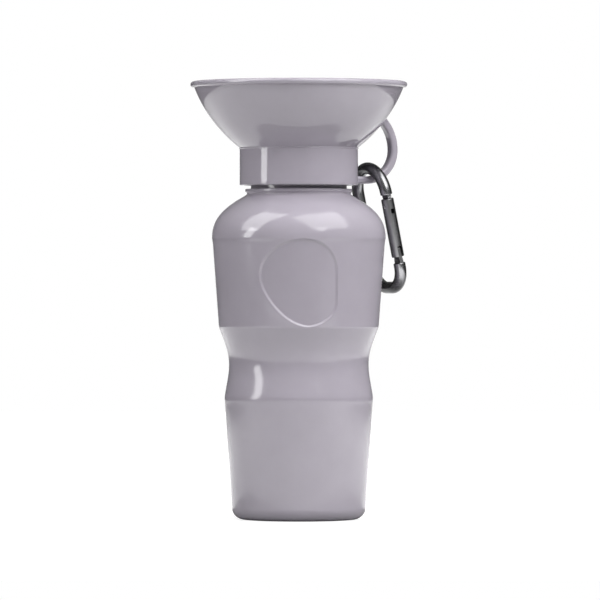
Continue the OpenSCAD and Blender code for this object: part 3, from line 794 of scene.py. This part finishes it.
class BOWL_OT_moulding(bpy.types.Operator):
    """Builds the drinking bowl with its rolled rim, screw collar, spigot, boss and ports"""

    bl_idname = "travel_bottle.bowl"
    bl_label = "Drinking Bowl"

    def execute(self, context):
        b = InMillimetres(context.scene.travel_bowl)
        s = InMillimetres(context.scene.travel_bottle)
        grid = lathe_grid(bowl_outline(b), full_turn(256))
        # the collar's own thread runs midway between the turns of the neck's
        off = np.abs(np.hypot(grid[..., 0], grid[..., 1]) - (b.collar_r - b.collar_wall))
        threaded = (off < 0.01) & (grid[..., 2] < INSERT_HIGH.z - 1)
        height = 1.25
        ridge = thread_ridge(grid, s.root_z + THREAD_START + s.thread_lead / 2, s.thread_lead,
                             turns=1.3, width=1.6)
        pressed_in(grid, np.where(threaded, height * ridge, 0.0))
        piece = add_rows("bowl_moulding", grid, sharp=40.0)
        low, high = INSERT_HIGH.z - 2, INSERT_HIGH.z + 6
        port = turned_profile([(0, low, 0), (b.port_r, low, 0), (b.port_r, high, 0),
                               (0, high, 0)])
        pitch = (b.boss_r + SPIGOT_BORE) / 2 + 0.3
        spots = turned(pitch, 0.0, full_turn(b.ports) + math.pi / b.ports)
        cut(piece, [lathe(f"port_{i}", port, 32, False, lambda v, at=at: v + at)
                    for i, at in enumerate(spots)], 40.0)
        dress(piece, "bowl", "bowl",
              moulded_plastic("bowl_plastic", context.scene.travel_finishes.plastic, 0.02,
                              ripple=0.00003, grain=0.03), "drinking_bowl")
        return {"FINISHED"}


# ---------- flow parts ----------

def insert_outline(s):
    """Outline of the insert: nozzle, tube socket, cup, skirt and flange."""
    top, foot = INSERT_HIGH.z, INSERT_LOW.z
    flange, floor = top - 1.6, top - 13.2
    socket_top, nozzle_top = floor - 1.6, floor + 5.9
    tube_r, rim = TUBE_HIGH.x, INSERT_HIGH.x
    wall, cup_bore, nozzle_bore = 1.6, 12.2, 3
    cup, skirt = cup_bore + wall, s.neck_r - s.neck_wall - 0.3
    return filleted([
        (nozzle_bore, nozzle_top, 0.2), (nozzle_bore, socket_top, 0.2),
        (tube_r, socket_top, 0.1), (tube_r, foot, 0.3), (tube_r + wall, foot, 0.3),
        (tube_r + wall, socket_top, 0.8), (cup, socket_top, 0.6), (cup, flange, 0.5),
        (skirt - wall, flange, 0.5), (skirt - wall, flange - 7, 0.3),
        (skirt - 0.5, flange - 7, 0.3), (skirt, flange - 6, 0.3), (skirt, flange, 0.2),
        (rim, flange, 0.3), (rim, top, 0.4), (cup_bore + 0.6, top, 0.2),
        (cup_bore, top - 0.6, 0.3), (cup_bore, floor, 0.4), (nozzle_bore + wall, floor, 0.5),
        (nozzle_bore + 0.7, nozzle_top, 0.2)], 4)


def tube_grid():
    """Turned rows of the dip tube, with the V cut in its foot: the lower end is pushed up by how
    near it lies to the cut's middle plane."""
    r, bore = TUBE_HIGH.x, TUBE_HIGH.x - 1
    low, high = TUBE_LOW.z, TUBE_HIGH.z
    side = filleted([(x, z, 0.15) for x, z in ((bore, low), (r, low), (r, high), (bore, high))],
                    4)
    grid = lathe_grid(np.concatenate([side[:8], line([r, low + 1], [r, high - 1], 40), side[8:],
                                      line([bore, high - 1], [bore, low + 1], 40)]),
                      full_turn(64))
    half_cut, fades_over = 0.9 * r, 20
    near = np.clip(half_cut - np.abs(grid[..., 0]), 0, None)
    grid[..., 2] += near * np.clip(1 - (grid[..., 2] - low) / fades_over, 0, 1)
    return grid


class FLOW_OT_parts(bpy.types.Operator):
    """Builds the insert, the dip tube, the gasket, the O-ring and the stopper"""

    bl_idname = "travel_bottle.flow_parts"
    bl_label = "Flow Parts"

    def execute(self, context):
        s = InMillimetres(context.scene.travel_bottle)
        finish = context.scene.travel_finishes
        natural = moulded_plastic("natural_plastic", finish.natural, 0.28, 0.02, soft=0.25)
        seal = silicone("seal_silicone", finish.silicone)
        inner, outer = s.neck_r - s.neck_wall, GASKET_HIGH.x
        low, high = GASKET_LOW.z, GASKET_HIGH.z
        flat = filleted([(x, z, 0.25) for x, z in ((inner, low), (outer, low), (outer, high),
                                                   (inner, high))])
        ring_r = (RING_HIGH.z - RING_LOW.z) / 2
        ring = arc([RING_HIGH.x - ring_r, RING_LOW.z + ring_r], ring_r, 0, 360, 25)[:-1]
        z, r = STOPPER_LOW.z, STOPPER_HIGH.x
        plug = turned_profile([
            (0, z, 0), (1.6, z, 0.5), (2.7, z + 1.5, 0.2), (r, z + 1.5, 0.5), (r, z + 6.1, 0.5),
            (2.6, z + 6.7, 0.1), (2.6, z + 3.5, 0), (0, z + 3.5, 0)])
        dress(lathe("insert_moulding", insert_outline(s), 128), "insert", "flow_parts", natural,
              "flow_insert")
        dress(add_rows("dip_tube_extrusion", tube_grid(), True), "insert", "flow_parts", natural,
              "dip_tube")
        dress(lathe("neck_seal", flat), "insert", "seals", seal, "neck_gasket")
        dress(lathe("spigot_seal", ring), "seal", "seals", seal, "spigot_o_ring")
        dress(lathe("stopper_plug", plug, 64, False), "bowl", "seals", seal, "stopper")
        return {"FINISHED"}


# ---------- carry loop ----------

def rounded_section(across, deep, radius, count=6):
    """A rectangle with round corners round its own middle, as a closed ring of points."""
    x, y = across / 2 - radius, deep / 2 - radius
    return np.concatenate([arc(corner, radius, 90 * i, 90 * i + 90, count) for i, corner in
                           enumerate(((x, y), (-x, y), (-x, -y), (x, -y)))])


def loop_foot(loop, b):
    """Rows of the foot, a strip that follows the collar and the start of the bowl: it lies
    t e(z) e(a) off the wall at each angle a, where e eases to 0 at every edge."""
    side = bowl_side(b)
    under = np.concatenate([
        line([b.collar_r, COLLAR_TOP - b.collar_h], [b.collar_r, COLLAR_TOP], 40),
        side[side[:, 1] < COLLAR_TOP + 6]])
    run = run_along(under)
    ends = smooth((run + 0.2) / 0.8) * smooth((run[-1] - run + 0.2) / 1.5)
    wide = np.linspace(-1, 1, 25)
    edges = smooth((1 - np.abs(wide)) / 0.22)
    angles = loop.azimuth + wide * math.asin(loop.width / 2 / b.collar_r)
    x, y = tangents(under).T

    def off_wall(lift):
        """The strip's points at a height over the wall."""
        return turned(*(under.T[..., None] + lift * np.stack([y, -x])[..., None]), angles)

    # one ring per row: over the top and back underneath
    top, bottom = off_wall(loop.foot * ends[:, None] * edges - 0.15), off_wall(-0.5)
    return np.concatenate([top, bottom[:, ::-1]], axis=1)


class LOOP_OT_moulding(bpy.types.Operator):
    """Builds the C-shaped carry loop and the foot that joins it to the collar"""

    bl_idname = "travel_bottle.carry_loop"
    bl_label = "Carry Loop"

    def execute(self, context):
        loop = InMillimetres(context.scene.travel_loop)
        b = InMillimetres(context.scene.travel_bowl)
        mid_r = loop.reach - loop.thick / 2
        mid_z = COLLAR_TOP - b.collar_h + loop.rise
        low_x = mid_r - loop.low_r
        low_z = mid_z - loop.low_r
        flat = np.concatenate([
            line([b.collar_r - 1.2, low_z], [low_x, low_z], 12),
            arc([low_x, mid_z], loop.low_r, -90, 0, 40)[:-1],
            arc([mid_r - loop.high_r, mid_z], loop.high_r, 0, 56, 40)])
        # the two ends spread a little where they run into the bowl and the collar
        run = run_along(flat)
        spread = 1 + 0.16 * (1 - smooth(run / 5)) + 0.16 * (1 - smooth((run[-1] - run) / 6))
        c, n = math.cos(loop.azimuth), math.sin(loop.azimuth)
        turn = np.array([[c, n, 0], [-n, c, 0], [0, 0, 1]])
        band = sweep("carry_loop_band", flat, rounded_section(loop.thick, loop.width, loop.edge),
                     spread, lambda verts: verts @ turn)
        plastic = moulded_plastic("loop_plastic", context.scene.travel_finishes.plastic, 0.12)
        dress(band, "bowl", "bowl", plastic, "carry_loop")
        dress(add_rows("carry_loop_foot", loop_foot(loop, b), sharp=60.0), "bowl", "bowl",
              plastic)
        return {"FINISHED"}


# ---------- carabiner ----------

class CarabinerFrame:
    """The carabiner's own axes at rest: x towards the gate, y away from the bottle, z up."""

    def __init__(self):
        swing, gate = JOINTS["carabiner_swing"], JOINTS["gate_swing"]
        x, y = np.array(swing["axis"], float), np.array(gate["axis"], float)
        self.axes = np.stack([x, y, np.cross(x, y)])
        self.origin = np.array(swing["pos_m"]) / MM
        self.pivot_z = float(self.axes[2] @ (np.array(gate["pos_m"]) / MM - self.origin))

    def __call__(self, verts):
        """Places vertices given in the carabiner's own axes."""
        return self.origin + np.asarray(verts, float) @ self.axes


def wire_path(c, half, end_z):
    """Middle line of the bent wire, from its upper end round to its lower end, and the scale
    at each station: 1, but over 7 stations at both ends a quarter round of radius edge."""
    low_z = c.low_corner - c.length
    low_x = half - c.low_corner
    path = np.concatenate([
        line([half, 2 - c.gate_top], [half, -half], 3),
        arc([0, -half], half, 0, 180, 64)[:-1],
        line([-half, -half], [-half, low_z], 30),
        arc([-low_x, low_z], c.low_corner, 180, 270, 28)[:-1],
        line([-low_x, -c.length], [low_x, -c.length], 6),
        arc([low_x, low_z], c.low_corner, 270, 360, 28)[:-1],
        line([half, low_z], [half, end_z], 4), [[half, end_z]]])
    edge = 0.45
    first, last = path[0], path[-1]
    t = np.linspace(0, 1, 7)
    for end in (first, last):
        path = path[np.linalg.norm(path - end, axis=1) > edge * 1.05]
    shrunk = 1 - edge / (c.wire / 2) * (1 - np.sqrt(np.clip(1 - (1 - t)**2, 0, 1)))
    path = np.concatenate([first + np.outer(edge * t, [0, 1]), path,
                           last - np.outer(edge * (1 - t), [0, 1])])
    return path, np.concatenate([shrunk, np.ones(len(path) - 2 * len(t)), shrunk[::-1]])


def spring_grid(high, low, turns=8, wire_r=0.2, coil_r=0.85):
    """A coil spring: the wire's ring r (cos b, sin b) carried round (R cos a, R sin a, z(a))."""
    a = np.linspace(0, 2 * math.pi * turns, turns * 20 + 1)[:, None]
    z = np.linspace(low + wire_r, high - wire_r, len(a))[:, None]
    ring = full_turn(8)
    return turned(coil_r + wire_r * np.cos(ring), z + wire_r * np.sin(ring), a)


class CARABINER_OT_parts(bpy.types.Operator):
    """Builds the carabiner's wire, gate, rivet, latch pin, plunger and spring"""

    bl_idname = "travel_bottle.carabiner"
    bl_label = "Carabiner"

    def execute(self, context):
        c = InMillimetres(context.scene.travel_carabiner)
        finish = context.scene.travel_finishes
        place = CarabinerFrame()
        half = c.width / 2
        gate_z = -c.gate_top
        gate_end = gate_z - c.gate_l
        pivot_z = place.pivot_z
        latch_z = gate_end + 2.6
        wire_end = gate_end - 3.1
        dark = satin_metal("wire_metal", finish.wire, 0.20, 0.5)
        light = satin_metal("gate_metal", finish.gate, 0.28, 0.5)
        steel = satin_metal("pin_steel", finish.steel, 0.22, 0.3)

        def on_gate(verts):
            """Places vertices given round the gate's middle line."""
            return place(np.asarray(verts, float) + [half, 0, 0])

        def crosswise(z):
            """Puts something turned about Z across the gate at height z."""
            return lambda v: on_gate(np.stack([v[:, 0], v[:, 2], v[:, 1] + z], axis=1))

        path, scale = wire_path(c, half, wire_end)
        section = arc([0, 0], c.wire / 2, 0, 360, 49)[:-1]
        dress(sweep("carabiner_wire", path, section, scale, place), "carabiner", "carabiner",
              dark, "carabiner_frame")
        # upper tongue: straight sides, round about the pivot, flat where the plunger bears
        tip_r = 2.3
        shoulder = c.wire / 2 - 0.25
        upper = np.concatenate([
            [[-shoulder, gate_z + 2.6], [-shoulder, gate_z + 1], [-tip_r, gate_z - 0.3]],
            arc([0, pivot_z], tip_r, 180, 235.7, 8), arc([0, pivot_z], tip_r, 304.3, 336, 5),
            [[2.1, pivot_z], [2.2, gate_z - 0.3], [shoulder, gate_z + 1],
             [shoulder, gate_z + 2.6]]])
        notch_r = c.pin_r + 0.25
        lower = np.concatenate([
            [[-shoulder, wire_end - 0.6], [-shoulder, wire_end + 1.2],
             [-tip_r, gate_end - 0.2], [-tip_r, latch_z - notch_r]],
            arc([0, latch_z], notch_r, -90, 90, 13),
            [[-tip_r, latch_z + 1.9], [-1.8, latch_z + 2.4], [1.6, latch_z + 2.4],
             [tip_r, latch_z + 1.7], [tip_r, gate_end - 0.2], [shoulder, wire_end + 1.2],
             [shoulder, wire_end - 0.6]]])
        dress(slab("hinge_tongue", upper, c.tongue, on_gate), "carabiner", "carabiner", dark)
        dress(slab("latch_nose", lower, c.tongue, on_gate), "carabiner", "carabiner", light)

        gate = lathe("gate_bar", rod_outline(c.gate / 2, gate_end, gate_z, 0.5), 96, False,
                     on_gate)
        slot = c.tongue / 2 + 0.15
        slot_end = pivot_z - 2.9
        chamber = rod_outline(1.25, pivot_z - 13, slot_end + 1, 0.0)
        seat = rod_outline(1.55, c.gate / 2 - 0.35, c.gate, 0.0)
        hole = rod_outline(c.pin_r + 0.05, -c.gate, c.gate, 0.0)
        cut(gate, [
            block("upper_slot", [-half, -slot, slot_end], [2.35, slot, gate_z + 1], on_gate),
            block("lower_slot", [-half, -slot, gate_end - 1], [half, slot, latch_z + 2.8],
                  on_gate),
            block("window", [0, -0.9, slot_end - 0.6], [c.gate, 0.9, slot_end + 1.7], on_gate),
            lathe("chamber", chamber, 32, False, on_gate),
            lathe("seat_near", seat, 48, False, crosswise(pivot_z)),
            lathe("seat_far", seat * [1, -1], 48, False, crosswise(pivot_z)),
            lathe("pivot_hole", hole, 32, False, crosswise(pivot_z)),
            lathe("latch_hole", hole, 32, False, crosswise(latch_z))], 30.0)
        dress(gate, "gate", "carabiner", light, "carabiner_gate")

        head = c.gate / 2 - 0.3
        upper_half = [(c.pin_r, head, 0.05), (1.42, head, 0.1), (0.9, head + 0.34, 0.3),
                      (0, head + 0.42, 0)]
        rivet = turned_profile([(r, -z, edge) for r, z, edge in upper_half[::-1]] + upper_half)
        pin = rod_outline(c.pin_r, 0.1 - c.gate / 2, c.gate / 2 - 0.1, 0.2)
        plunger_top = pivot_z - 1.95
        plunger_end = plunger_top - 3
        plunger = rod_outline(1.15, plunger_end, plunger_top, 0.15)
        dress(lathe("pivot_rivet", rivet, 48, False, crosswise(pivot_z)), "carabiner", "pins",
              steel, "gate_rivet")
        dress(lathe("latch_cross_pin", pin, 40, False, crosswise(latch_z)), "gate", "pins", steel,
              "latch_pin")
        dress(lathe("plunger_pin", plunger, 40, False, on_gate), "plunger", "pins", steel,
              "gate_plunger")
        coil = spring_grid(plunger_end, plunger_top - 11)
        dress(add_rows("gate_coil", coil, place=on_gate), "gate", "pins", steel, "gate_spring")
        return {"FINISHED"}


# ---------- stage ----------

def aim(thing, place, target, roll=0.0):
    """Puts a lamp or a camera at a place, turns it towards a target and rolls it in degrees."""
    thing.location = place
    direction = Vector(target) - Vector(place)
    thing.rotation_mode = "QUATERNION"
    thing.rotation_quaternion = direction.to_track_quat("-Z", "Y") @ Quaternion(
        (0, 0, 1), math.radians(roll))


def soft_lamp(name, place, target, size, power, mirrored=True, lights=True, roll=0.0,
              shape="RECTANGLE"):
    """A soft lamp. Without mirrored it casts light but shows in no reflection, and without
    lights it only shows in reflections."""
    lamp = bpy.data.lights.new(name, "AREA")
    lamp.shape, lamp.energy = shape, power
    lamp.size, lamp.size_y = size
    holder = in_scene(name, lamp)
    holder.visible_glossy, holder.visible_diffuse = mirrored, lights
    aim(holder, place, target, roll)


def ray_kinds(tree):
    """1 for rays of the camera, and 1 for rays of reflections and clear materials, else 0."""
    path = add_node(tree, "LightPath")
    return path["Is Camera Ray"], maths(tree, "MAXIMUM", path["Is Glossy Ray"],
                                        path["Is Transmission Ray"])


class STAGE_OT_studio(bpy.types.Operator):
    """Makes the pale table, the soft studio lamps, the world and the camera"""

    bl_idname = "travel_bottle.stage"
    bl_label = "Stage"

    def table(self):
        """A long sheet of white paper that reaches far behind the object, with painted shade near
        the object's foot. The camera sees it as white with a faint shadow, partly real and partly
        painted, and reflections see a painted reflection of it: white away from the object's foot,
        with a painted shadow round the foot."""
        half, front, back, drop = 0.5, -0.55, 2.2, 0.0002
        mesh = bpy.data.meshes.new("studio_table")
        mesh.from_pydata([(-half, front, -drop), (half, front, -drop), (half, back, -drop),
                          (-half, back, -drop)], [], [(0, 1, 2, 3)])
        mesh.update()
        material, tree, shader = blank_material("table_paper")
        away = away_from_middle(tree)
        # painted shade: the paper's colour, and the glow that the camera sees, are darker near the
        # object's foot
        out_of_painted_shade = ramp(tree, away, 0.05, 0.45)
        feed_all(tree, shader.inputs, {
            "Base Color": tint(tree, out_of_painted_shade, (0.40, 0.40, 0.40), (0.70, 0.70, 0.70)),
            "Roughness": 0.9, "Specular IOR Level": 0.0})
        # painted reflection: a glow that only reflections see, dimmed towards the camera and far
        # off, and cut out round the foot as a painted shadow
        outside_painted_foot_shadow = ramp(tree, away_from_middle(tree, (0.5, 1.0, 1.0)), 0.066, 0.074)
        axes = add_node(tree, "SeparateXYZ", {"Vector": object_place(tree)})
        near_camera = maths(tree, "MULTIPLY", ramp(tree, axes["Y"], -0.12, -0.50), 0.78)
        far = maths(tree, "MULTIPLY", ramp(tree, away, 0.60, 1.00), 0.55)
        camera, glossy = ray_kinds(tree)
        seen = maths(tree, "MULTIPLY", camera,
                     maths(tree, "ADD", maths(tree, "MULTIPLY", out_of_painted_shade, 0.15), 0.80))
        painted_reflection_strength = maths(tree, "SUBTRACT", 0.90, maths(tree, "MAXIMUM", near_camera, far))
        mirrored = maths(tree, "MULTIPLY", outside_painted_foot_shadow, painted_reflection_strength, glossy)
        glow = add_node(tree, "Emission", {"Strength": maths(tree, "ADD", seen, mirrored)})
        both = add_node(tree, "AddShader", {0: shader.outputs["BSDF"], 1: glow["Emission"]})
        feed(tree, both["Shader"], tree.nodes["Material Output"].inputs["Surface"])
        mesh.materials.append(material)
        in_scene("studio_table", mesh)

    def world(self, context):
        """A dim room with a pale ceiling. The camera sees it as white, and so do reflections
        where they look at the backdrop behind the object."""
        world = bpy.data.worlds.new("studio_room")
        context.scene.world = world
        world.use_nodes = True
        tree = world.node_tree
        direction = add_node(tree, "TexCoord")["Generated"]
        axes = add_node(tree, "SeparateXYZ", {"Vector": direction})
        ceiling = maths(tree, "MULTIPLY", ramp(tree, axes["Z"], 0.15, 0.9), 0.30)
        right = maths(tree, "MULTIPLY", ramp(tree, axes["X"], 0.0, 0.9), 0.07)
        light = maths(tree, "ADD", ceiling, right, 0.10)
        camera, glossy = ray_kinds(tree)
        backdrop = maths(tree, "MULTIPLY", ramp(tree, axes["Y"], 0.975, 0.995), glossy)
        feed_all(tree, tree.nodes["Background"].inputs, {
            "Color": (1.0, 1.0, 1.0, 1.0),
            "Strength": maths(tree, "MAXIMUM", camera, backdrop, light)})

    def camera(self, context):
        """A long lens level with the middle of the bottle."""
        distance, frame_width, middle = 2.75, 0.300, 0.1096
        lens = bpy.data.cameras.new("product_camera")
        lens.sensor_width = 36.0
        lens.lens = lens.sensor_width * distance / frame_width
        lens.clip_start, lens.clip_end = 0.1, 50.0
        holder = in_scene("product_camera", lens)
        aim(holder, (0.0006, -distance, middle + 0.011), (0.0006, 0.0, middle))
        context.scene.camera = holder

    def execute(self, context):
        context.scene.view_settings.view_transform = "Standard"
        self.table()
        self.world(context)
        middle = (0, 0, 0.13)
        # broad soft light from the right and a weaker one from the left
        soft_lamp("key_box", (0.52, -0.52, 0.97), middle, (1.10, 1.10), 10.0)
        soft_lamp("key_fill", (0.545, -0.545, 1.01), middle, (1.15, 1.15), 8.9, mirrored=False)
        soft_lamp("left_fill", (-0.74, -0.24, 0.64), middle, (0.36, 1.40), 4.4, mirrored=False)
        # these only show as highlights: a strip at the left in two lengths, and a round lamp
        soft_lamp("left_strip", (-0.93, -0.37, 0.30), (0, 0, 0.16), (0.225, 0.50), 1.9,
                  lights=False, roll=-20)
        soft_lamp("left_head", (-0.604, -0.22, 0.775), middle, (0.48, 1.03), 5.3, lights=False)
        soft_lamp("front_spot", (0.56, -0.93, 0.55), (0, 0, 0.07), (0.24, 0.24), 0.55,
                  lights=False, shape="DISK")
        self.camera(context)
        return {"FINISHED"}


# ---------- add-on ----------

class BOTTLE_PT_panel(bpy.types.Panel):
    """Sizes, finishes and the steps that build the bottle"""

    bl_label = "Travel Bottle"
    bl_idname = "BOTTLE_PT_panel"
    bl_space_type = "VIEW_3D"
    bl_region_type = "UI"
    bl_category = "Travel Bottle"

    def draw(self, context):
        for name in STEPS:
            self.layout.operator(name)
        for owner in GROUPS:
            box = self.layout.box()
            sizes = getattr(context.scene, owner)
            for field in sizes.bl_rna.properties:
                if field.identifier not in ("rna_type", "name"):
                    box.prop(sizes, field.identifier)


GROUPS = {
    "travel_bottle": BottleSizes,
    "travel_bowl": BowlSizes,
    "travel_loop": LoopSizes,
    "travel_carabiner": CarabinerSizes,
    "travel_finishes": Finishes,
}
STEPS = ("travel_bottle.moulding", "travel_bottle.bowl", "travel_bottle.flow_parts",
         "travel_bottle.carry_loop", "travel_bottle.carabiner", "travel_bottle.stage")
CLASSES = (*GROUPS.values(), BOTTLE_OT_moulding, BOWL_OT_moulding, FLOW_OT_parts,
           LOOP_OT_moulding, CARABINER_OT_parts, STAGE_OT_studio, BOTTLE_PT_panel)


def register():
    """Registers the classes and hangs each group of sizes on the scene."""
    for item in CLASSES:
        bpy.utils.register_class(item)
    for name, group in GROUPS.items():
        setattr(bpy.types.Scene, name, bpy.props.PointerProperty(type=group))


def unregister():
    """Takes back what register did."""
    for name in GROUPS:
        delattr(bpy.types.Scene, name)
    for item in reversed(CLASSES):
        bpy.utils.unregister_class(item)


def main():
    """Registers the add-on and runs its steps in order."""
    register()
    for step in STEPS:
        family, name = step.split(".")
        getattr(getattr(bpy.ops, family), name)()


if __name__ == "__main__":
    main()
